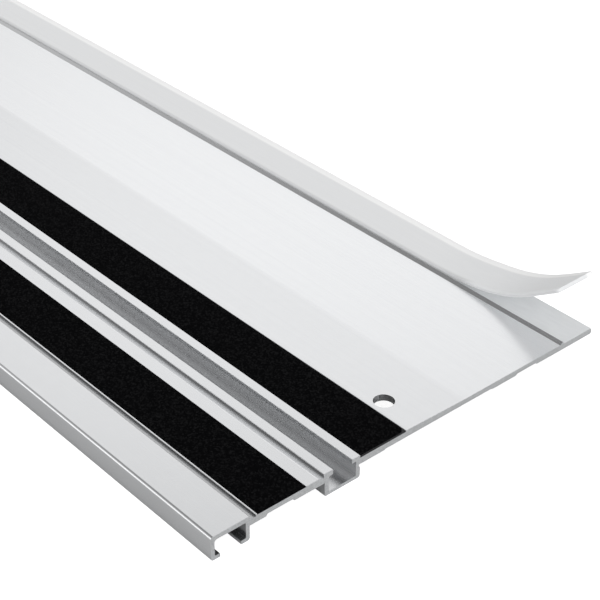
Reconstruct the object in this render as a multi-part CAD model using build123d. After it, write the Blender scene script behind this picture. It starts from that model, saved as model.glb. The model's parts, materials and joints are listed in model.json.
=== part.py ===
from build123d import *
import math
import os

# Threshold strip for a door opening: one aluminium extrusion with a hooked nose, an open rail, two
# anti-slip treads and a wide fixing plate, and a bonding ledge whose adhesive is covered by a peel strip.
# The frame: X runs along the strip, Y from the nose to the ledge, Z up from the floor. The section is
# drawn with its front face at Y = 0 and moved back by half the depth, so the origin ends up under the middle.

# Overall
LENGTH = 610.0           # strip for a 2 ft door leaf
END = LENGTH / 2

# Nose: channel that opens downward over a frame or a trim
NOSE_DEPTH = 12.1
NOSE_HEIGHT = 7.5
NOSE_WALL = 1.2
NOSE_ROOF = 1.4
NOSE_LIP = 1.2
NOSE_MOUTH_FRONT = 2.8
NOSE_CREST_R = 0.9
NOSE_FOOT_R = 0.9

# Rail: channel that opens upward between two inward lips
RAIL_FRONT = 36.6
RAIL_DEPTH = 12.1
RAIL_FRONT_HEIGHT = 7.5  # the front lip stands a little higher than the rear one
RAIL_LIP_FRONT = 36.3    # and a little in front of its wall
RAIL_REAR_HEIGHT = 7.1
RAIL_WALL = 1.4
RAIL_FLOOR = 1.05
RAIL_FRONT_UNDER = 5.75  # root of the front lip's sloped underside
RAIL_REAR_UNDER = 5.8
RAIL_LIP_SLOPE = 0.2
RAIL_FOOT_R = 0.9
RAIL_WAIST = 0.4         # how far the rear wall steps in above its thick foot
RAIL_WAIST_Z = 3.2
RAIL_REAR = RAIL_FRONT + RAIL_DEPTH

# Channel mouths, the same on both channels so that one insert fits either
MOUTH = 6.5
RAIL_LIP_REACH = (RAIL_DEPTH - MOUTH) / 2

# Plates between and behind the channels
UNDERSIDE = 4.45
GUTTER_START_Z = 6.75    # the gutter behind the nose drains towards the bead
GUTTER_Z = 6.2
GUTTER_END = 14.15
BEAD_Z = 6.84            # square bead in front of the front tread's recess
RECESS = (14.6, 30.45, 6.62)
PAD_Z = 6.8              # plain pad behind the recess
PAD_END = 34.5           # from here it falls softly to the foot of the rail's front lip
PAD_END_R = 1.5
FOOT_GROOVE = (36.1, 6.25)
POCKET_Z = 6.25          # floor of the rear tread's pocket
POCKET_END = 64.9
POCKET_RIM_Z = 6.7
CREASE_Y = 86.5          # the fixing plate falls to here, then runs level
PLATE_Z = 6.1

# Relief steps under the plates
FRONT_RELIEF = (17.4, 26.5, 5.1)
REAR_RELIEF = (107.0, 115.6, 4.6)
THICK_FOOT = (RAIL_REAR, 57.2, 4.2)
REAR_UNDERSIDE = 4.15
REAR_UNDERSIDE_START = 97.2

# Stop rib and bonding ledge
RIB_START = 125.1
RIB_TOP_START = 126.25
RIB_END = 126.4
RIB_Z = 6.74
LEDGE_Z = 5.95
LEDGE_END = 138.6
LEDGE_EDGE_R = 0.7

# Fixing holes
HOLE_D = 6.0
HOLE_Y = 69.5
HOLE_END = 13.2          # from the strip's end to the first hole
HOLE_COUNT = 3

# Anti-slip treads: a grit layer on an adhesive carrier
FRONT_GRIT_Y = (14.65, 30.35)
FRONT_CARRIER_Y = FRONT_GRIT_Y
FRONT_TREAD_LAYERS = (0.08, 0.15)    # adhesive, grit: a thin tape that lies flush in its recess
REAR_GRIT_Y = (48.95, 64.45)
REAR_CARRIER_Y = (48.95, 64.85)      # the thick tape's carrier shows behind its grit
REAR_TREAD_LAYERS = (0.35, 0.55)
REAR_TREAD_INSET = 0.3   # the rear tread stops this far short of the cut ends

# Ledge adhesive and the peel strip over it
FILM = 0.2
FILM_Y = (126.6, LEDGE_END - 0.4)
PEEL = 1.2               # thickness of the peel strip
PEEL_Y = (126.6, 141.6)  # it overhangs the ledge for a finger to lift
PEEL_Z = LEDGE_Z + FILM
PEEL_EDGE_R = 0.5

# Lifted tail of the peel strip: rigid links on hinges across the strip
TAIL_START = END - 47.2
TAIL_LINKS = (14.2, 6.6, 5.8, 6.0, 14.2)
TAIL_STEP = 6.4          # degrees added at each hinge
TAIL_GAP = 0.4           # play between two links
TAIL_LIFT = 0.15         # the links are this much thinner below, so that they lie flat with play

DEPTH = PEEL_Y[1]
SHIFT = Pos(0, -DEPTH / 2, 0)


def section(*corners):
    """A closed face across the strip, from (y, z, corner radius) corners in order."""
    points = [(y, z) for y, z, _ in corners]
    radii = [r for _, _, r in corners]
    return make_face(FilletPolyline(*points, radius=radii, close=True))


def block(y_low, y_high, z_low, z_high, radius=0.0):
    """A rectangle of the section."""
    corners = ((y_low, z_low), (y_high, z_low), (y_high, z_high), (y_low, z_high))
    return section(*((y, z, radius) for y, z in corners))


def along(face, x_low=-END, x_high=END):
    """Runs a section along the strip, from one X to another, and puts it in the part's frame."""
    solid = extrude(Plane.YZ * face, amount=x_high - x_low)
    return SHIFT * Pos(x_low, 0, 0) * solid


def nose():
    """Downward channel: front face with a rounded crest, roof, rear wall, and two inward lips."""
    mouth_rear = NOSE_MOUTH_FRONT + MOUTH
    roof = NOSE_HEIGHT - NOSE_ROOF
    inner_rear = NOSE_DEPTH - NOSE_WALL
    return section(
        (0, 0, 0.8),
        (NOSE_MOUTH_FRONT, 0, 0.2),
        (NOSE_MOUTH_FRONT, NOSE_LIP, 0.2),
        (NOSE_WALL, NOSE_LIP, 0.3),
        (NOSE_WALL, roof, 0.8),
        (inner_rear, roof, 0.3),
        (inner_rear, NOSE_LIP, 0.3),
        (mouth_rear, NOSE_LIP, 0.2),
        (mouth_rear, 0, 0.2),
        (NOSE_DEPTH, 0, NOSE_FOOT_R),
        (NOSE_DEPTH, NOSE_HEIGHT, 0.25),
        (0, NOSE_HEIGHT, NOSE_CREST_R),
    )


def front_plate():
    """Gutter behind the nose, bead, recess for the front tread, pad, and the groove at the rail's foot."""
    relief_start, relief_end, relief_z = FRONT_RELIEF
    recess_start, recess_end, recess_z = RECESS
    groove_y, groove_z = FOOT_GROOVE
    return section(
        (NOSE_DEPTH - NOSE_WALL / 2, UNDERSIDE, 0),
        (relief_start, UNDERSIDE, 0),
        (relief_start + 0.4, relief_z, 0),
        (relief_end - 0.4, relief_z, 0),
        (relief_end, UNDERSIDE, 0),
        (RAIL_FRONT + RAIL_WALL / 2, UNDERSIDE, 0),
        (RAIL_FRONT + RAIL_WALL / 2, groove_z, 0),
        (groove_y, groove_z, 0.1),
        (PAD_END, PAD_Z, PAD_END_R),
        (recess_end, PAD_Z, 0.05),
        (recess_end, recess_z, 0),
        (recess_start, recess_z, 0),
        (recess_start, BEAD_Z, 0.05),
        (GUTTER_END, BEAD_Z, 0.12),
        (GUTTER_END, GUTTER_Z, 0),
        (NOSE_DEPTH, GUTTER_START_Z, 0),
        (NOSE_DEPTH - NOSE_WALL / 2, GUTTER_START_Z, 0),
    )


def rail():
    """Upward channel: floor, two walls, and two inward lips over its mouth."""
    front_inner = RAIL_FRONT + RAIL_WALL
    rear_inner = RAIL_REAR - RAIL_WALL
    front_tip = RAIL_FRONT + RAIL_LIP_REACH
    rear_tip = RAIL_REAR - RAIL_LIP_REACH
    return section(
        (RAIL_FRONT, 0, 0.6),
        (RAIL_REAR, 0, RAIL_FOOT_R),
        (RAIL_REAR, RAIL_WAIST_Z, 0.3),
        (RAIL_REAR - RAIL_WAIST, RAIL_WAIST_Z + 0.6, 0.3),
        (RAIL_REAR - RAIL_WAIST, UNDERSIDE + 0.5, 0),
        (RAIL_REAR, UNDERSIDE + 0.5, 0),
        (RAIL_REAR, RAIL_REAR_HEIGHT, 0.15),
        (rear_tip, RAIL_REAR_HEIGHT, 0.1),
        (rear_tip, RAIL_REAR_UNDER, 0.1),
        (rear_inner, RAIL_REAR_UNDER, 0.2),
        (rear_inner, RAIL_FLOOR, 0.2),
        (front_inner, RAIL_FLOOR, 0.2),
        (front_inner, RAIL_FRONT_UNDER, 0.2),
        (front_tip, RAIL_FRONT_UNDER + RAIL_LIP_SLOPE, 0.15),
        (front_tip, RAIL_FRONT_HEIGHT, 0.2),
        (RAIL_LIP_FRONT, RAIL_FRONT_HEIGHT, 0.12),
        (RAIL_LIP_FRONT, UNDERSIDE + 0.5, 0),
        (RAIL_FRONT, UNDERSIDE + 0.5, 0),
    )


def fixing_plate():
    """Pocket for the rear tread, then the wide plate: a slight fall to the crease and a level run."""
    relief_start, relief_end, relief_z = REAR_RELIEF
    foot_start, foot_end, foot_z = THICK_FOOT
    return section(
        (foot_start - RAIL_WALL / 2, foot_z, 0),
        (foot_end, foot_z, 0),
        (foot_end + 0.5, UNDERSIDE, 0),
        (REAR_UNDERSIDE_START, UNDERSIDE, 0),
        (REAR_UNDERSIDE_START + 0.3, REAR_UNDERSIDE, 0),
        (relief_start, REAR_UNDERSIDE, 0),
        (relief_start + 0.8, relief_z, 0),
        (relief_end - 0.3, relief_z, 0),
        (relief_end, REAR_UNDERSIDE, 0),
        (RIB_END, REAR_UNDERSIDE, 0),
        (RIB_END, PLATE_Z, 0),
        (CREASE_Y, PLATE_Z, 0),
        (POCKET_END + 0.7, POCKET_RIM_Z, 0.3),
        (POCKET_END, POCKET_RIM_Z, 0.15),
        (POCKET_END, POCKET_Z, 0),
        (foot_start - RAIL_WALL / 2, POCKET_Z, 0),
    )


def rib_and_ledge():
    """The sloped stop rib and the ledge behind it, with a rounded free edge."""
    return section(
        (RIB_START - 1, REAR_UNDERSIDE, 0),
        (LEDGE_END, REAR_UNDERSIDE, LEDGE_EDGE_R),
        (LEDGE_END, LEDGE_Z, LEDGE_EDGE_R),
        (RIB_END + 0.1, LEDGE_Z, 0),
        (RIB_END, RIB_Z, 0.1),
        (RIB_TOP_START, RIB_Z, 0.1),
        (RIB_START, PLATE_Z, 0),
        (RIB_START - 1, PLATE_Z, 0),
    )


def hole_positions():
    """X of each fixing hole, evenly spaced between the two end holes."""
    first = -END + HOLE_END
    pitch = (LENGTH - 2 * HOLE_END) / (HOLE_COUNT - 1)
    return [first + i * pitch for i in range(HOLE_COUNT)]


def base_profile():
    """The whole extrusion with its row of fixing holes."""
    body = along(nose() + front_plate() + rail() + fixing_plate() + rib_and_ledge())
    for x in hole_positions():
        body -= SHIFT * Pos(x, HOLE_Y, 0) * Cylinder(HOLE_D / 2, 4 * NOSE_HEIGHT)
    return body


def tread(carrier_y, grit_y, floor, layers, inset=0.0):
    """One anti-slip tread: its adhesive carrier and the grit layer on top."""
    adhesive, grit = layers
    x_end = END - inset
    carrier_top = floor + adhesive
    carrier = along(block(*carrier_y, floor, carrier_top), -x_end, x_end)
    grit_layer = along(block(*grit_y, carrier_top, carrier_top + grit), -x_end, x_end)
    return carrier, grit_layer


def ledge_adhesive():
    """The clear pressure-sensitive film that is left on the ledge under the peel strip."""
    return along(block(*FILM_Y, LEDGE_Z, LEDGE_Z + FILM))


def peel_strip_bonded():
    """The stretch of the peel strip that still lies on the adhesive."""
    face = block(*PEEL_Y, PEEL_Z, PEEL_Z + PEEL, PEEL_EDGE_R)
    return along(face, -END, TAIL_START - TAIL_GAP / 2)


def tail_hinges():
    """(X, Z, angle) of each tail hinge at rest: where it is, and the angle of the link that starts there."""
    x, z = TAIL_START, PEEL_Z + PEEL / 2
    hinges = []
    for number, link_length in enumerate(TAIL_LINKS, start=1):
        angle = number * TAIL_STEP
        hinges.append((x, z, angle))
        x += link_length * math.cos(math.radians(angle))
        z += link_length * math.sin(math.radians(angle))
    return hinges


def tail_link(x, z, angle, link_length, last):
    """One rigid link of the lifted tail, drawn flat at the origin and turned up to its angle."""
    low, high = TAIL_LIFT - PEEL / 2, PEEL / 2
    far = link_length if last else link_length - TAIL_GAP / 2
    flat = extrude(Plane.YZ * block(*PEEL_Y, low, high, PEEL_EDGE_R * 0.8), amount=far - TAIL_GAP / 2)
    return SHIFT * Pos(x, 0, z) * Rot(0, -angle, 0) * Pos(TAIL_GAP / 2, 0, 0) * flat


def peel_tail():
    """The links of the tail, in order from the bonded stretch to the free end."""
    count = len(TAIL_LINKS)
    links = zip(tail_hinges(), TAIL_LINKS)
    return [tail_link(*hinge, length, i == count - 1) for i, (hinge, length) in enumerate(links)]


def build():
    """Every node of the part by name."""
    front_carrier, front_grit = tread(FRONT_CARRIER_Y, FRONT_GRIT_Y, RECESS[2], FRONT_TREAD_LAYERS)
    rear_carrier, rear_grit = tread(
        REAR_CARRIER_Y, REAR_GRIT_Y, POCKET_Z, REAR_TREAD_LAYERS, REAR_TREAD_INSET
    )
    nodes = {
        "base_profile": base_profile(),
        "front_tread_adhesive": front_carrier,
        "front_tread_grit": front_grit,
        "rear_tread_adhesive": rear_carrier,
        "rear_tread_grit": rear_grit,
        "ledge_adhesive_film": ledge_adhesive(),
        "peel_strip_bonded": peel_strip_bonded(),
    }
    for number, link in enumerate(peel_tail(), start=1):
        nodes[f"peel_tail_{number}"] = link
    return nodes


os.makedirs("parts", exist_ok=True)
for name, solid in build().items():
    solid.label = name
    export_step(solid, f"parts/{name}.step")
for number, (x, z, angle) in enumerate(tail_hinges(), start=1):
    print(f"hinge {number}: x {x:.3f} z {z:.3f}, link at {angle:.1f} degrees")
print(f"depth {DEPTH:.2f}, holes at x {[round(x, 2) for x in hole_positions()]}, y {HOLE_Y - DEPTH / 2:.2f}")
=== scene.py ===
# %% [markdown]
# # A threshold strip in drawn aluminium
# A threshold strip bridges two floors in a doorway. This one is a single aluminium extrusion with a hooked
# nose, an open rail, two black anti-slip treads and a wide fixing plate, and behind a low rib a ledge with
# an adhesive film under a white peel strip. The solid model of the metal is loaded as it is. It holds
# every true size, so the metal only needs a finish here. What this lesson builds is what a solid modeller
# does badly: the grit of the treads, the clear film, and a peel strip that bends in one smooth curve.

# %% Load the solid model
import json
import math
import random

import bmesh
import bpy
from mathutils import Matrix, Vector

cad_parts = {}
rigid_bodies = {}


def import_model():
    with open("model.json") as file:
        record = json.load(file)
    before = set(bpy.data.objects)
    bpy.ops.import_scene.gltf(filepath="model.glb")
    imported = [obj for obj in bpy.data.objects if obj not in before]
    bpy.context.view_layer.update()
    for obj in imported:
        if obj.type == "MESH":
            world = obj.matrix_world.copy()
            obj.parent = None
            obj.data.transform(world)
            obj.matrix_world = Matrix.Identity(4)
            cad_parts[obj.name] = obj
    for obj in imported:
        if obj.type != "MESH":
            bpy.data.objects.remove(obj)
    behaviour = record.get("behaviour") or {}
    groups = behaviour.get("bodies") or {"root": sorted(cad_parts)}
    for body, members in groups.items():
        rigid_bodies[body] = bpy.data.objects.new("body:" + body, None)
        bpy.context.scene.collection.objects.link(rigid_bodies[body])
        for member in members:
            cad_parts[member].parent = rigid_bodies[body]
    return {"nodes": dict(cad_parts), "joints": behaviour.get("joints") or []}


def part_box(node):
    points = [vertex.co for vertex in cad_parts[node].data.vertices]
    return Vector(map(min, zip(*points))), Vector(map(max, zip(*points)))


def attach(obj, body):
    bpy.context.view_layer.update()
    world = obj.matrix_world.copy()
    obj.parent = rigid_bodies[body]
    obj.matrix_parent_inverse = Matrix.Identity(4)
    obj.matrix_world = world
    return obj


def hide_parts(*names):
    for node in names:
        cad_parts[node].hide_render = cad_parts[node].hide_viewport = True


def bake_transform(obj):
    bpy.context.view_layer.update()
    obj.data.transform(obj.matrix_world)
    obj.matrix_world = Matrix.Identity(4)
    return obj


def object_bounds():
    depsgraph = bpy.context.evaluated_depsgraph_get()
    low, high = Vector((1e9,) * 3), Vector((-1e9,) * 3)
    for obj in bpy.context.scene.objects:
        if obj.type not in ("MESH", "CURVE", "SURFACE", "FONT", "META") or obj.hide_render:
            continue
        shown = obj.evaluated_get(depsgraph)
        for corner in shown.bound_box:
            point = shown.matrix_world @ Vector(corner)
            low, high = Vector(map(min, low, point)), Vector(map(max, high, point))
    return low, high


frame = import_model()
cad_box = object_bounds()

MM = 0.001
joints = frame["joints"]
nodes = frame["nodes"]
print("overall, mm:", [round((high - low) / MM, 1) for low, high in zip(*cad_box)])

# %% [markdown]
# ## Colours and nodes
# Colours are written as they'd be picked on a screen, in sRGB hex, but the renderer works in linear light,
# so one function turns them. A material is a small graph of nodes. One helper adds a node, sets it and
# links it in a single call, which keeps each material short enough to read as a recipe.

# %% Helpers for colours and materials
def linear(hex_code):
    """sRGB hex to linear RGBA."""
    channels = [int(hex_code[i:i + 2], 16) / 255 for i in (1, 3, 5)]
    return tuple(c / 12.92 if c <= 0.04045 else ((c + 0.055) / 1.055) ** 2.4 for c in channels) + (1.0,)


def add(tree, kind, inputs=None, **settings):
    """Adds a node. inputs maps a socket's name or number to a value, or to another node's output."""
    node = tree.nodes.new(kind)
    for key, value in settings.items():
        setattr(node, key, value)
    for key, value in (inputs or {}).items():
        if isinstance(value, bpy.types.NodeSocket):
            tree.links.new(value, node.inputs[key])
        else:
            node.inputs[key].default_value = value
    return node


def stretched(tree, along_x, across):
    """Object coordinates in units of a pattern that is along_x metres long and across metres wide."""
    place = add(tree, "ShaderNodeTexCoord")
    scale = (1 / along_x, 1 / across, 1 / across)
    return add(tree, "ShaderNodeMapping",
               {"Vector": place.outputs["Object"], "Scale": scale}).outputs[0]


def new_material(name):
    """An empty material and its node tree."""
    material = bpy.data.materials.new(name)
    material.use_nodes = True
    material.node_tree.nodes.clear()
    return material, material.node_tree


def finish_with(tree, shader):
    """Sends a shader to the surface."""
    add(tree, "ShaderNodeOutputMaterial", {"Surface": shader.outputs[0]})


def coat(name, material):
    """Gives a node of the solid model one material, and no other."""
    slots = nodes[name].data.materials
    slots.clear()
    slots.append(material)


# %% [markdown]
# ## Anodised aluminium
# The profile is pushed hot through a die, then matt etched and anodised. The die leaves very fine lines
# along the length, and the etch and the clear oxide turn the mirror into a soft satin. To the eye that is
# a bright grey metal with wide soft reflections and a faint streak that never crosses the length. The cut
# ends are sawn and left raw, so they are duller and have short marks the other way.
#
# The streaks are a noise that is stretched along X. Real die lines are about 0.1 mm wide, too fine to
# show from here, so they are drawn 0.7 mm wide. Which face is a cut end is read from the surface's normal.
# An ambient occlusion node darkens the inner corners and grooves a little, as painted shade. A band along
# the gutter behind the nose is painted darker as well, also painted shade. In front of its crease the plate
# is painted darker than the level run behind it: painted shade for the dimmer reflection of its slope.

# %% Anodised aluminium
DIE_LINE = 0.7 * MM
DIE_LINE_LENGTH = 260 * MM
SAW_MARK = 0.5 * MM
ANODISED = "#E6E7E8"
ANODISED_DARK = "#E0E1E3"
SAWN = "#BFC1C3"
SAWN_BRIGHT = "#ECEDEE"
CREASE = 15.7 * MM       # from the middle of the strip's depth
CREASE_HALF = 0.8 * MM   # half the width of the crease
CREASE_FRONT_PAINTED_SHADE = 0.92        # painted shade in front of the crease, against 1.0 behind it
GUTTER = -57.67 * MM     # middle of the gutter behind the nose, where shade is painted
GUTTER_HALF = 1.0 * MM
GUTTER_FADE = 0.1 * MM
GUTTER_PAINTED_SHADE = 0.7
CORNER_REACH = 4 * MM    # how far from a corner the painted shade reaches
CORNER_SHUT = 0.3        # share of open sky where the painted shade is full, and where it ends
CORNER_OPEN = 0.9
CORNER_PAINTED_SHADE = 0.72
CUT_FACING = 0.95        # a face that points this much along X is a cut end


def anodised_aluminium():
    """Satin aluminium that is dull on its two cut ends."""
    material, tree = new_material("anodised_aluminium_satin")
    lines = add(tree, "ShaderNodeTexNoise",
                {"Vector": stretched(tree, DIE_LINE_LENGTH, DIE_LINE), "Scale": 1.0, "Detail": 3.0})
    etch = add(tree, "ShaderNodeTexNoise",
               {"Vector": stretched(tree, 3 * MM, 3 * MM), "Scale": 1.0, "Detail": 4.0})
    saw = add(tree, "ShaderNodeTexNoise",
              {"Vector": stretched(tree, 1.0, SAW_MARK), "Scale": 1.0, "Detail": 2.0})
    tint = add(tree, "ShaderNodeMix",
               {"Factor": lines.outputs["Fac"], "A": linear(ANODISED_DARK), "B": linear(ANODISED)},
               data_type="RGBA")
    normal = add(tree, "ShaderNodeNewGeometry").outputs["True Normal"]
    normal_x = add(tree, "ShaderNodeSeparateXYZ", {"Vector": normal}).outputs["X"]
    facing = add(tree, "ShaderNodeMath", {0: normal_x}, operation="ABSOLUTE").outputs[0]
    is_cut = add(tree, "ShaderNodeMath", {0: facing, 1: CUT_FACING}, operation="GREATER_THAN").outputs[0]
    place = add(tree, "ShaderNodeTexCoord").outputs["Object"]
    across = add(tree, "ShaderNodeSeparateXYZ", {"Vector": place}).outputs["Y"]
    # painted shade: the plate is drawn darker in front of the crease, for the dimmer reflection of its slope
    run = add(tree, "ShaderNodeMapRange",
              {"Value": across, "From Min": CREASE - CREASE_HALF, "From Max": CREASE + CREASE_HALF,
               "To Min": CREASE_FRONT_PAINTED_SHADE, "To Max": 1.0}).outputs[0]
    # painted shade: an ambient occlusion node darkens inner corners and grooves
    open_sky = add(tree, "ShaderNodeAmbientOcclusion", {"Distance": CORNER_REACH}, samples=8)
    corner = add(tree, "ShaderNodeMapRange",
                 {"Value": open_sky.outputs["AO"], "From Min": CORNER_SHUT, "From Max": CORNER_OPEN,
                  "To Min": CORNER_PAINTED_SHADE}).outputs[0]
    # painted shade: a darker band along the gutter behind the nose
    from_gutter = add(tree, "ShaderNodeMath", {0: across, 1: GUTTER}, operation="SUBTRACT").outputs[0]
    aside = add(tree, "ShaderNodeMath", {0: from_gutter}, operation="ABSOLUTE").outputs[0]
    painted_gutter_shade = add(tree, "ShaderNodeMapRange",
                 {"Value": aside, "From Min": GUTTER_HALF, "From Max": GUTTER_HALF + GUTTER_FADE,
                  "To Min": GUTTER_PAINTED_SHADE, "To Max": 1.0}).outputs[0]
    shade = run
    for factor in (corner, painted_gutter_shade):
        shade = add(tree, "ShaderNodeMath", {0: shade, 1: factor}, operation="MULTIPLY").outputs[0]
    drawn = add(tree, "ShaderNodeVectorMath",
                {0: tint.outputs["Result"], "Scale": shade}, operation="SCALE").outputs[0]
    raw = add(tree, "ShaderNodeMix",
              {"Factor": saw.outputs["Fac"], "A": linear(SAWN), "B": linear(SAWN_BRIGHT)},
              data_type="RGBA")
    colour = add(tree, "ShaderNodeMix",
                 {"Factor": is_cut, "A": drawn, "B": raw.outputs["Result"]}, data_type="RGBA")
    satin = add(tree, "ShaderNodeMapRange",
                {"Value": etch.outputs["Fac"], "To Min": 0.24, "To Max": 0.27})
    rough = add(tree, "ShaderNodeMix",
                {"Factor": is_cut, "A": satin.outputs["Result"], "B": 0.5}, data_type="FLOAT")
    bump = add(tree, "ShaderNodeBump",
               {"Height": lines.outputs["Fac"], "Strength": 0.06, "Distance": 0.01 * MM})
    metal = add(tree, "ShaderNodeBsdfPrincipled",
                {"Base Color": colour.outputs["Result"], "Roughness": rough.outputs["Result"],
                 "Normal": bump.outputs[0], "Metallic": 1.0})
    finish_with(tree, metal)
    return material


metal = anodised_aluminium()
coat("base_profile", metal)
print("aluminium:", len(metal.node_tree.nodes), "nodes")

# %% [markdown]
# ## Grit and its carrier
# The treads are anti-slip tape: mineral grit, usually black silicon carbide, bonded in resin on a film,
# with an adhesive under it. Grit throws light in every direction, so it looks almost dead black. A few
# grains are painted a little lighter as painted glints, and they are less rough. The carrier is a dark butyl
# rubber that only shows at the edges.

# %% Grit and rubber
GRIT = 0.45 * MM         # 0.25 mm grains, drawn this large so that they show
GRIT_BLACK = "#050506"
GRIT_PAINTED_GLINT = "#151516"
BUTYL = "#1C1C1E"
BUTYL_DARK = "#121213"


def mineral_grit():
    """Black grains, a few of them painted lighter as painted glints."""
    material, tree = new_material("silicon_carbide_grit")
    cells = add(tree, "ShaderNodeTexVoronoi", {"Vector": stretched(tree, GRIT, GRIT), "Scale": 1.0})
    value = add(tree, "ShaderNodeSeparateColor", {"Color": cells.outputs["Color"]}).outputs["Red"]
    # painted glint: some grains get a lighter colour
    painted_glint = add(tree, "ShaderNodeMapRange",
                {"Value": value, "From Min": 0.55, "From Max": 1.0}).outputs[0]
    colour = add(tree, "ShaderNodeMix",
                 {"Factor": painted_glint, "A": linear(GRIT_BLACK), "B": linear(GRIT_PAINTED_GLINT)}, data_type="RGBA")
    rough = add(tree, "ShaderNodeMapRange", {"Value": value, "To Min": 0.95, "To Max": 0.7})
    bump = add(tree, "ShaderNodeBump",
               {"Height": cells.outputs["Distance"], "Strength": 0.6, "Distance": 0.1 * MM})
    shader = add(tree, "ShaderNodeBsdfPrincipled",
                 {"Base Color": colour.outputs["Result"], "Roughness": rough.outputs[0],
                  "Normal": bump.outputs[0], "IOR": 1.5, "Specular IOR Level": 0.02})
    finish_with(tree, shader)
    return material


def butyl_rubber():
    """Dark matt rubber."""
    material, tree = new_material("butyl_rubber_carrier")
    grain = add(tree, "ShaderNodeTexNoise",
                {"Vector": stretched(tree, 1 * MM, 0.5 * MM), "Scale": 1.0, "Detail": 3.0})
    colour = add(tree, "ShaderNodeMix",
                 {"Factor": grain.outputs["Fac"], "A": linear(BUTYL_DARK), "B": linear(BUTYL)},
                 data_type="RGBA")
    rough = add(tree, "ShaderNodeMapRange",
                {"Value": grain.outputs["Fac"], "To Min": 0.6, "To Max": 0.8})
    shader = add(tree, "ShaderNodeBsdfPrincipled",
                 {"Base Color": colour.outputs["Result"], "Roughness": rough.outputs[0], "IOR": 1.52})
    finish_with(tree, shader)
    return material


grit = mineral_grit()
rubber = butyl_rubber()
for name in ("front_tread_adhesive", "rear_tread_adhesive"):
    coat(name, rubber)

# %% [markdown]
# ## The grit layers
# Bump alone would leave the tread a smooth slab at its edge, so the grit is real geometry: a closed slab
# whose top is a fine grid, with each point raised or lowered a little at random. It could be thousands of
# scattered stones, but at this size a rough skin looks the same and is one clean closed mesh. Both rear
# corners of the rear tape are nipped off, as they are when tape is cut with shears.

# %% A closed slab with a rough top
GRAIN_STEP = 0.9 * MM
GRAIN_HEIGHT = 0.07 * MM
CORNERS = {"front_tread_grit": 0.0, "rear_tread_grit": 0.9 * MM}


def grit_slab(name, node, seed, corner):
    """A closed slab in the node's box: a rough top, plain sides, and a bottom."""
    low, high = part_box(node)
    rng = random.Random(seed)
    count_x = round((high.x - low.x) / GRAIN_STEP)
    count_y = round((high.y - low.y) / GRAIN_STEP)
    mesh = bmesh.new()
    top, bottom = [], []
    for i in range(count_x + 1):
        x = low.x + (high.x - low.x) * i / count_x
        nip = max(0.0, corner - min(x - low.x, high.x - x))
        y_high = high.y - nip
        row = []
        for j in range(count_y + 1):
            y = low.y + (y_high - low.y) * j / count_y
            edge = i in (0, count_x) or j in (0, count_y)
            z = high.z - GRAIN_HEIGHT * (1.0 if edge else rng.random())
            row.append(mesh.verts.new((x, y, z)))
        top.append(row)
        bottom.append([mesh.verts.new((x, y, low.z)) for y in (low.y, y_high)])
    for i in range(count_x):
        for j in range(count_y):
            mesh.faces.new((top[i][j], top[i + 1][j], top[i + 1][j + 1], top[i][j + 1]))
        mesh.faces.new((bottom[i][0], bottom[i][1], bottom[i + 1][1], bottom[i + 1][0]))
        mesh.faces.new((top[i][0], bottom[i][0], bottom[i + 1][0], top[i + 1][0]))
        mesh.faces.new((top[i][-1], top[i + 1][-1], bottom[i + 1][1], bottom[i][1]))
    mesh.faces.new([*top[0], bottom[0][1], bottom[0][0]])
    mesh.faces.new([*reversed(top[-1]), bottom[-1][0], bottom[-1][1]])
    bmesh.ops.recalc_face_normals(mesh, faces=mesh.faces)
    return as_piece(name, mesh)


def as_piece(name, mesh):
    """A bmesh as an object in the scene."""
    data = bpy.data.meshes.new(name)
    mesh.to_mesh(data)
    mesh.free()
    piece = bpy.data.objects.new(name, data)
    bpy.context.scene.collection.objects.link(piece)
    return piece


for seed, (name, corner) in enumerate(CORNERS.items(), start=1):
    tread = grit_slab(name.replace("grit", "surface"), name, seed, corner)
    tread.data.materials.append(grit)
    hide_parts(name)
    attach(tread, "strip")
    print(tread.name, len(tread.data.polygons), "faces")

# %% [markdown]
# ## The adhesive film
# Once the peel strip is off, a clear acrylic transfer film is left on the ledge. It is soft and tacky, so
# its surface is a little uneven and glossy, and it greys the metal under it.

# %% Acrylic film
FILM_TINT = "#DCDEDF"
FILM_SHADE = "#CED0D2"


def acrylic_film():
    """Tacky film that greys the metal under it."""
    material, tree = new_material("acrylic_transfer_film")
    ripple = add(tree, "ShaderNodeTexNoise",
                 {"Vector": stretched(tree, 6 * MM, 1.5 * MM), "Scale": 1.0, "Detail": 2.0})
    colour = add(tree, "ShaderNodeMix",
                 {"Factor": ripple.outputs["Fac"], "A": linear(FILM_SHADE), "B": linear(FILM_TINT)},
                 data_type="RGBA")
    rough = add(tree, "ShaderNodeMapRange",
                {"Value": ripple.outputs["Fac"], "To Min": 0.3, "To Max": 0.5})
    bump = add(tree, "ShaderNodeBump",
               {"Height": ripple.outputs["Fac"], "Strength": 0.2, "Distance": 0.05 * MM})
    shader = add(tree, "ShaderNodeBsdfPrincipled",
                 {"Base Color": colour.outputs["Result"], "Roughness": rough.outputs[0],
                  "Normal": bump.outputs[0], "IOR": 1.47})
    finish_with(tree, shader)
    return material


film = acrylic_film()
coat("ledge_adhesive_film", film)

# %% [markdown]
# ## White polyethylene
# The peel strip is a stiff white polyethylene tape, extruded and slit to width. It is satin, a little
# translucent, and where it overhangs the ledge it has no metal behind it, so it looks lighter there.
# A faint line marks the ledge's edge. The lifted end keeps that line, pressed in while it lay bonded.
#
# A thin closed solid doesn't pass light on by itself unless it is rendered as a murky volume. What that
# would add is a faint glow of the side that faces down, so the shader gives that side one.

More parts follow.
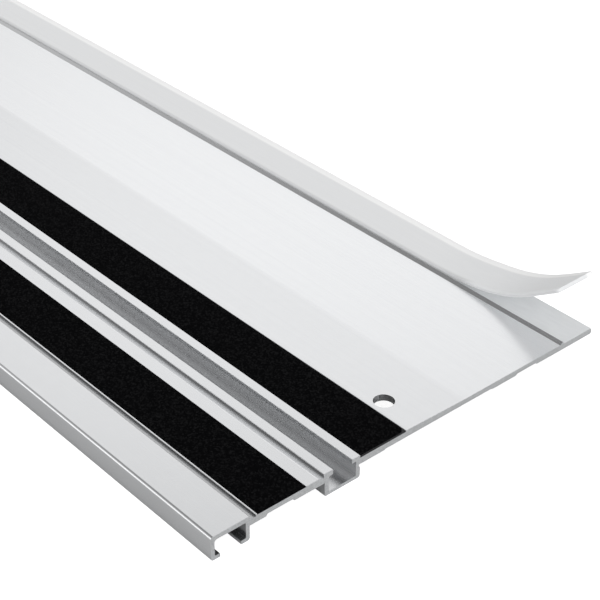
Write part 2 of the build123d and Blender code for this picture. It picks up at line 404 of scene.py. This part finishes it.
# %% Polyethylene
LINER_OVER_METAL = "#E6E7E8"
LINER_FREE = "#FAFAFA"
LIGHT_THROUGH = 0.25     # light from above that comes out of the underside
PRESSED_LINE = 0.35 * MM
PRESSED_TONE = 0.94
SLIT_RIM = 0.6 * MM
SLIT_TONE = 0.86
SHADED_FRONT_EDGE = 1.6 * MM    # painted shade along the front edge, which lies in a crevice above the rib while bonded
FRONT_EDGE_PAINTED_SHADE = 0.78
LIFT_HALF = 12 * MM      # how far the painted shade fades, each way from where the tail starts
ledge_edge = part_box("base_profile")[1].y
front_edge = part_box("peel_strip_bonded")[0].y
slit_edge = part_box("peel_strip_bonded")[1].y
tail_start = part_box("peel_strip_bonded")[1].x


def white_polyethylene():
    """White satin tape with its pressed line, slit rim and painted shade along its front edge."""
    material, tree = new_material("white_polyethylene_satin")
    coordinates = add(tree, "ShaderNodeTexCoord").outputs["Object"]
    place = add(tree, "ShaderNodeSeparateXYZ", {"Vector": coordinates})
    across = place.outputs["Y"]
    free = add(tree, "ShaderNodeMapRange",
               {"Value": across, "From Min": ledge_edge - 0.5 * MM, "From Max": ledge_edge + 0.3 * MM})
    streak = add(tree, "ShaderNodeTexNoise",
                 {"Vector": stretched(tree, 40 * MM, 1.2 * MM), "Scale": 1.0, "Detail": 3.0})
    tone = add(tree, "ShaderNodeMix",
               {"Factor": free.outputs[0], "A": linear(LINER_OVER_METAL), "B": linear(LINER_FREE)},
               data_type="RGBA")
    from_ledge = add(tree, "ShaderNodeMath", {0: across, 1: ledge_edge}, operation="SUBTRACT").outputs[0]
    from_line = add(tree, "ShaderNodeMath", {0: from_ledge}, operation="ABSOLUTE").outputs[0]
    line = add(tree, "ShaderNodeMapRange",
               {"Value": from_line, "From Max": PRESSED_LINE,
                "To Min": PRESSED_TONE, "To Max": 1.0}).outputs[0]
    rim = add(tree, "ShaderNodeMapRange",
              {"Value": across, "From Min": slit_edge - SLIT_RIM, "From Max": slit_edge,
               "To Min": 1.0, "To Max": SLIT_TONE}).outputs[0]
    shade = add(tree, "ShaderNodeMapRange",
                {"Value": streak.outputs["Fac"], "To Min": 0.96, "To Max": 1.02}).outputs[0]
    # painted shade: darker along the front edge where it is bonded, fading out where the tail lifts
    painted_front_shade = add(tree, "ShaderNodeMapRange",
                {"Value": across, "From Min": front_edge, "From Max": front_edge + SHADED_FRONT_EDGE,
                 "To Min": FRONT_EDGE_PAINTED_SHADE, "To Max": 1.0}, interpolation_type="SMOOTHSTEP").outputs[0]
    lifted = add(tree, "ShaderNodeMapRange",
                 {"Value": place.outputs["X"], "From Min": tail_start - LIFT_HALF,
                  "From Max": tail_start + LIFT_HALF}).outputs[0]
    front = add(tree, "ShaderNodeMath", {0: painted_front_shade, 1: lifted}, operation="MAXIMUM").outputs[0]
    for factor in (line, rim, front):
        shade = add(tree, "ShaderNodeMath", {0: shade, 1: factor}, operation="MULTIPLY").outputs[0]
    colour = add(tree, "ShaderNodeVectorMath",
                 {0: tone.outputs["Result"], "Scale": shade}, operation="SCALE")
    rough = add(tree, "ShaderNodeMapRange",
                {"Value": streak.outputs["Fac"], "To Min": 0.38, "To Max": 0.5})
    bump = add(tree, "ShaderNodeBump",
               {"Height": streak.outputs["Fac"], "Strength": 0.08, "Distance": 0.05 * MM})
    facing = add(tree, "ShaderNodeNewGeometry").outputs["Normal"]
    facing_up = add(tree, "ShaderNodeSeparateXYZ", {"Vector": facing}).outputs["Z"]
    through = add(tree, "ShaderNodeMapRange",
                  {"Value": facing_up, "From Min": -1.0, "From Max": 0.0,
                   "To Min": LIGHT_THROUGH, "To Max": 0.0}).outputs[0]
    shader = add(tree, "ShaderNodeBsdfPrincipled",
                 {"Base Color": colour.outputs[0], "Roughness": rough.outputs[0],
                  "Normal": bump.outputs[0], "Emission Color": (1, 1, 1, 1), "Emission Strength": through, "IOR": 1.51})
    finish_with(tree, shader)
    return material


polyethylene = white_polyethylene()

# %% [markdown]
# ## The peel strip's curve
# The solid model holds the lifted end as five straight links. The real one is one smooth bend. A curve
# that touches the middle of each link, in the link's own direction, and turns round each hinge is a chain
# of quadratic Bezier arcs: the hinge is the control point and the middles of the two links are its ends.
# Cutting the strip at those middles gives one bending piece per hinge, whose ends each lie on one link.

# %% Link middles and hinges
liner_low, liner_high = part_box("peel_strip_bonded")
MID_Y = (liner_low.y + liner_high.y) / 2
WIDTH = liner_high.y - liner_low.y
THICK = liner_high.z - liner_low.z

link_names = [joint["child"] for joint in joints]
hinges = [Vector((joint["pos_m"][0], MID_Y, joint["pos_m"][2])) for joint in joints]
turn = math.atan2(hinges[1].z - hinges[0].z, hinges[1].x - hinges[0].x)
last_turn = turn * len(hinges)


def tip_of_tail():
    """The far end of the last link, on its middle line."""
    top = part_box(link_names[-1])[1].z - THICK / 2 * math.cos(last_turn)
    reach = (top - hinges[-1].z) / math.sin(last_turn)
    return hinges[-1] + reach * Vector((math.cos(last_turn), 0, math.sin(last_turn)))


tip = tip_of_tail()
corners = [*hinges, tip]
middles = [(a + b) / 2 for a, b in zip(corners, corners[1:])]
start = hinges[0] - Vector(((middles[0] - hinges[0]).length, 0, 0))
middles.insert(0, start)
print(f"each hinge turns {math.degrees(turn):.1f} degrees,",
      f"the tip is {(tip.z - start.z) / MM:.1f} mm up")

# %% [markdown]
# ## One section, swept
# Every piece of the strip is the same section, a thin rectangle with rounded long edges, set on stations
# along the middle line and skinned into a closed tube with two caps. The slit edges are a little rounder
# on top, where the knife went in. Tape that is pulled up by one corner also twists, so the stations
# turn about the front edge, most in the middle of the lifted part and back to level at the tip. The front
# edge itself isn't lowered, so the tail has room to lie down on the adhesive.

# %% The section
EDGE_TOP = 0.5 * MM
EDGE_BOTTOM = 0.25 * MM
FLAT_STEPS = 8
ARC_STEPS = 4


def section_outline(width, thick):
    """The section's points in order: y across and z up from its middle."""
    half_y, half_z = width / 2, thick / 2
    outline = []
    for side_y, side_z, radius, first in ((1, 1, EDGE_TOP, 0), (-1, 1, EDGE_TOP, 90),
                                          (-1, -1, EDGE_BOTTOM, 180), (1, -1, EDGE_BOTTOM, 270)):
        centre_y, centre_z = side_y * (half_y - radius), side_z * (half_z - radius)
        for step in range(ARC_STEPS + 1):
            angle = math.radians(first + 90 * step / ARC_STEPS)
            outline.append((centre_y + radius * math.cos(angle), centre_z + radius * math.sin(angle)))
        if side_y == side_z:
            sign = -side_y
            flat = width - 2 * EDGE_TOP if side_z > 0 else width - 2 * EDGE_BOTTOM
            for step in range(1, FLAT_STEPS):
                outline.append((centre_y + sign * flat * step / FLAT_STEPS, side_z * half_z))
    return outline


# %% Twist and stations
TWIST = math.radians(2.2)
TWIST_FROM = start.x
TWIST_TO = tip.x


def twist_at(x):
    """The section's turn about its front edge, at a place along the strip."""
    share = min(1.0, max(0.0, (x - TWIST_FROM) / (TWIST_TO - TWIST_FROM)))
    return TWIST * math.sin(math.pi * share) ** 2


def arc(a, control, b, steps):
    """Stations (point, direction) along a quadratic Bezier arc."""
    stations = []
    for i in range(steps + 1):
        t = i / steps
        point = (1 - t) ** 2 * a + 2 * t * (1 - t) * control + t ** 2 * b
        direction = ((1 - t) * (control - a) + t * (b - control)).normalized()
        stations.append((point, direction))
    return stations


def straight(a, b, steps):
    """Stations along a straight run."""
    direction = (b - a).normalized()
    return [(a.lerp(b, i / steps), direction) for i in range(steps + 1)]


# %% [markdown]
# ## Skinning the stations
# The free end is cut square with its two corners nipped round. It could be a boolean cut, but the same
# stations do it: over the last millimetre they get narrower, along a quarter circle.

# %% Sweep
TIP_CORNER = 1.1 * MM


def half_width_at(distance):
    """Half the width of the strip, at a distance from its free end."""
    if distance >= TIP_CORNER:
        return WIDTH / 2
    back = TIP_CORNER - distance
    return WIDTH / 2 - TIP_CORNER + math.sqrt(TIP_CORNER ** 2 - back ** 2)


def sweep(name, stations, free_end=False):
    """A closed piece of the strip on its stations."""
    mesh = bmesh.new()
    across = Vector((0, 1, 0))
    rings = []
    for point, direction in stations:
        up = direction.cross(across)
        angle = twist_at(point.x)
        y_axis = math.cos(angle) * across + math.sin(angle) * up
        z_axis = math.cos(angle) * up - math.sin(angle) * across
        centre = point + WIDTH / 2 * math.sin(angle) * up
        width = 2 * half_width_at((tip - point).length) if free_end else WIDTH
        outline = section_outline(width, THICK)
        rings.append([mesh.verts.new(centre + y * y_axis + z * z_axis) for y, z in outline])
    count = len(rings[0])
    for a, b in zip(rings, rings[1:]):
        for k in range(count):
            face = mesh.faces.new((a[k], a[(k + 1) % count], b[(k + 1) % count], b[k]))
            face.smooth = True
    for cap in (mesh.faces.new(reversed(rings[0])), mesh.faces.new(rings[-1])):
        for edge in cap.edges:
            edge.smooth = False
    bmesh.ops.recalc_face_normals(mesh, faces=mesh.faces)
    piece = as_piece(name, mesh)
    piece.data.materials.append(polyethylene)
    return piece


# %% The bonded stretch
BONDED_STATIONS = 40
far_end = Vector((liner_low.x, MID_Y, start.z))
bonded = sweep("peel_strip_flat", straight(far_end, start, BONDED_STATIONS))
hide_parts("peel_strip_bonded")
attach(bonded, "strip")
print("bonded stretch:", round((start.x - far_end.x) / MM, 1), "mm")

# %% The bending pieces
ARC_STATIONS = 8
TIP_STATIONS = 5
ROUNDING_SHARES = (1.0, 0.6, 0.3, 0.1, 0.0)   # of the tip's corner, still to go to the free end
for i, (joint, hinge) in enumerate(zip(joints, hinges)):
    stations = arc(middles[i], hinge, middles[i + 1], ARC_STATIONS)
    last = i == len(joints) - 1
    if last:
        rounding = [tip.lerp(middles[-1], TIP_CORNER * share / (tip - middles[-1]).length)
                    for share in ROUNDING_SHARES]
        run = straight(middles[-1], rounding[0], TIP_STATIONS)[1:]
        stations += run + [(point, run[0][1]) for point in rounding[1:]]
    bend = sweep(f"peel_bend_{i + 1}", stations, free_end=last)
    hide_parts(joint["child"])
    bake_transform(bend)
    print(bend.name, "between", joint["parent"], "and", joint["child"], len(stations), "stations")

# %% [markdown]
# ## The studio
# Metal shows what is around it, so the room is there to be reflected. Bright walls up to about 40 degrees
# and a dark ceiling make the flat tops light and leave the grooves, which only see the ceiling, dark. The
# wall behind the strip's far end is the brightest, so that the plate shines in its middle. A soft panel
# low in front lights the nose and the bead. White plastic needs more light than that, so a wide overhead
# panel fills it in; the metal doesn't mirror that panel, as if it were polarised.
#
# The floor is plain and pale. A catalogue shows its goods cut out on white, so the floor looks white where
# it is seen directly, and the walls nearly so. The metal still mirrors a light grey floor and grey walls.

# %% Floor
FLOOR_SIZE = 6.0
FLOOR_PALE = "#CDCDCD"
FLOOR_PALE_SPOT = "#C9C9C9"
FLOOR_GLOW = 0.9
MOTTLE = 0.4             # metres across one pale patch of the floor


def studio_floor():
    """A pale matt floor at the strip's foot."""
    bpy.ops.mesh.primitive_plane_add(size=FLOOR_SIZE, location=(0, 0, 0))
    plane = bpy.context.active_object
    plane.name = "studio_floor"
    material, tree = new_material("matt_pale_floor")
    mottle = add(tree, "ShaderNodeTexNoise", {"Vector": stretched(tree, MOTTLE, MOTTLE), "Scale": 1.0})
    colour = add(tree, "ShaderNodeMix",
                 {"Factor": mottle.outputs["Fac"], "A": linear(FLOOR_PALE_SPOT),
                  "B": linear(FLOOR_PALE)}, data_type="RGBA")
    seen = add(tree, "ShaderNodeLightPath").outputs["Is Camera Ray"]
    glow = add(tree, "ShaderNodeMath", {0: seen, 1: FLOOR_GLOW}, operation="MULTIPLY")
    shader = add(tree, "ShaderNodeBsdfPrincipled",
                 {"Base Color": colour.outputs["Result"], "Roughness": 0.9, "Specular IOR Level": 0.0,
                  "Emission Color": (1, 1, 1, 1), "Emission Strength": glow.outputs[0]})
    finish_with(tree, shader)
    plane.data.materials.append(material)


studio_floor()

# %% Walls and ceiling
# Azimuth 0 is in front of the strip, and 90 is at its near end. WALL_LEVELS holds degrees up and level.
WALL_LEVELS = (
    (0, 0.55), (14, 0.70), (25, 0.93), (34, 0.90),
    (39, 0.78), (45, 0.46), (54, 0.24), (90, 0.16),
)
BRIGHT_WALLS = (
    # azimuth, elevation, level, degrees from its middle to where it starts to fade, and has faded
    (229, 34, 0.62, 2, 26),
    (75, 42, 0.95, 25, 75),
)


def direction(azimuth, elevation):
    """A unit vector towards a place in the room."""
    a, e = math.radians(azimuth), math.radians(elevation)
    return Vector((math.sin(a) * math.cos(e), -math.cos(a) * math.cos(e), math.sin(e)))


def cosine(degrees):
    """The cosine of an angle in degrees."""
    return math.cos(math.radians(degrees))


def studio_room():
    """Walls and ceiling as the world's light, by how high and which way it comes from."""
    world = bpy.data.worlds.new("studio_room")
    world.use_nodes = True
    tree = world.node_tree
    tree.nodes.clear()
    towards = add(tree, "ShaderNodeTexCoord").outputs["Generated"]
    height = add(tree, "ShaderNodeSeparateXYZ", {"Vector": towards}).outputs["Z"]
    levels = add(tree, "ShaderNodeValToRGB", {"Fac": height})
    ramp = levels.color_ramp.elements
    while len(ramp) < len(WALL_LEVELS):
        ramp.new(0.5)
    for element, (elevation, level) in zip(ramp, WALL_LEVELS):
        element.position = math.sin(math.radians(elevation))
        element.color = (level, level, level, 1)
    total = levels.outputs["Color"]
    for azimuth, elevation, level, core, edge in BRIGHT_WALLS:
        near = add(tree, "ShaderNodeVectorMath",
                   {0: towards, 1: direction(azimuth, elevation)}, operation="DOT_PRODUCT")
        bright = add(tree, "ShaderNodeMapRange",
                     {"Value": near.outputs["Value"], "From Min": cosine(edge), "From Max": cosine(core),
                      "To Max": level}, interpolation_type="SMOOTHSTEP")
        total = add(tree, "ShaderNodeMath", {0: total, 1: bright.outputs[0]}, operation="ADD").outputs[0]
    seen = add(tree, "ShaderNodeLightPath").outputs["Is Camera Ray"]
    total = add(tree, "ShaderNodeMath", {0: total, 1: seen}, operation="MAXIMUM").outputs[0]
    background = add(tree, "ShaderNodeBackground", {"Strength": total})
    add(tree, "ShaderNodeOutputWorld", {"Surface": background.outputs[0]})
    bpy.context.scene.world = world


studio_room()
bpy.context.scene.view_settings.view_transform = "Standard"


# %% Soft panels
def panel(name, azimuth, elevation, distance, width, height, power, mirrored=True):
    """A soft panel that faces the near half of the strip."""
    light = bpy.data.lights.new(name, "AREA")
    light.shape = "RECTANGLE"
    light.size, light.size_y = width, height
    light.energy = power
    lamp = bpy.data.objects.new(name, light)
    back = direction(azimuth, elevation)
    lamp.location = aim + back * distance
    lamp.rotation_euler = (-back).to_track_quat("-Z", "Y").to_euler()
    lamp.visible_glossy = mirrored
    bpy.context.scene.collection.objects.link(lamp)


AIM_FROM_NEAR_END = 72.3 * MM
AIM_BEHIND_MIDDLE = 20.3 * MM
aim = Vector((cad_box[1].x - AIM_FROM_NEAR_END, AIM_BEHIND_MIDDLE, 0))
panel("overhead_fill", azimuth=0, elevation=75, distance=1.8, width=1.8, height=1.8, power=4,
      mirrored=False)
panel("near_end_light", azimuth=90, elevation=5, distance=1.2, width=1.2, height=0.35, power=3)
panel("front_strip_light", azimuth=-41, elevation=12, distance=1.6, width=1.2, height=0.8, power=3)

# %% [markdown]
# ## The camera
# A long lens from close to the near end, looking down at about 34 degrees, gives the strip its strong
# taper. The floor point it looks at is the panels' aim too.

# %% Camera
CAMERA_AZIMUTH = 49.04
CAMERA_ELEVATION = 33.51
CAMERA_DISTANCE = 488.7 * MM
LENS = 97.92

camera_data = bpy.data.cameras.new("camera")
camera_data.lens = LENS
camera = bpy.data.objects.new("camera", camera_data)
back = direction(CAMERA_AZIMUTH, CAMERA_ELEVATION)
camera.location = aim + back * CAMERA_DISTANCE
camera.rotation_euler = (-back).to_track_quat("-Z", "Y").to_euler()
camera_data.clip_start = 0.01
camera_data.clip_end = 100
bpy.context.scene.collection.objects.link(camera)
bpy.context.scene.camera = camera
print("camera at, mm:", [round(c / MM, 1) for c in camera.location])
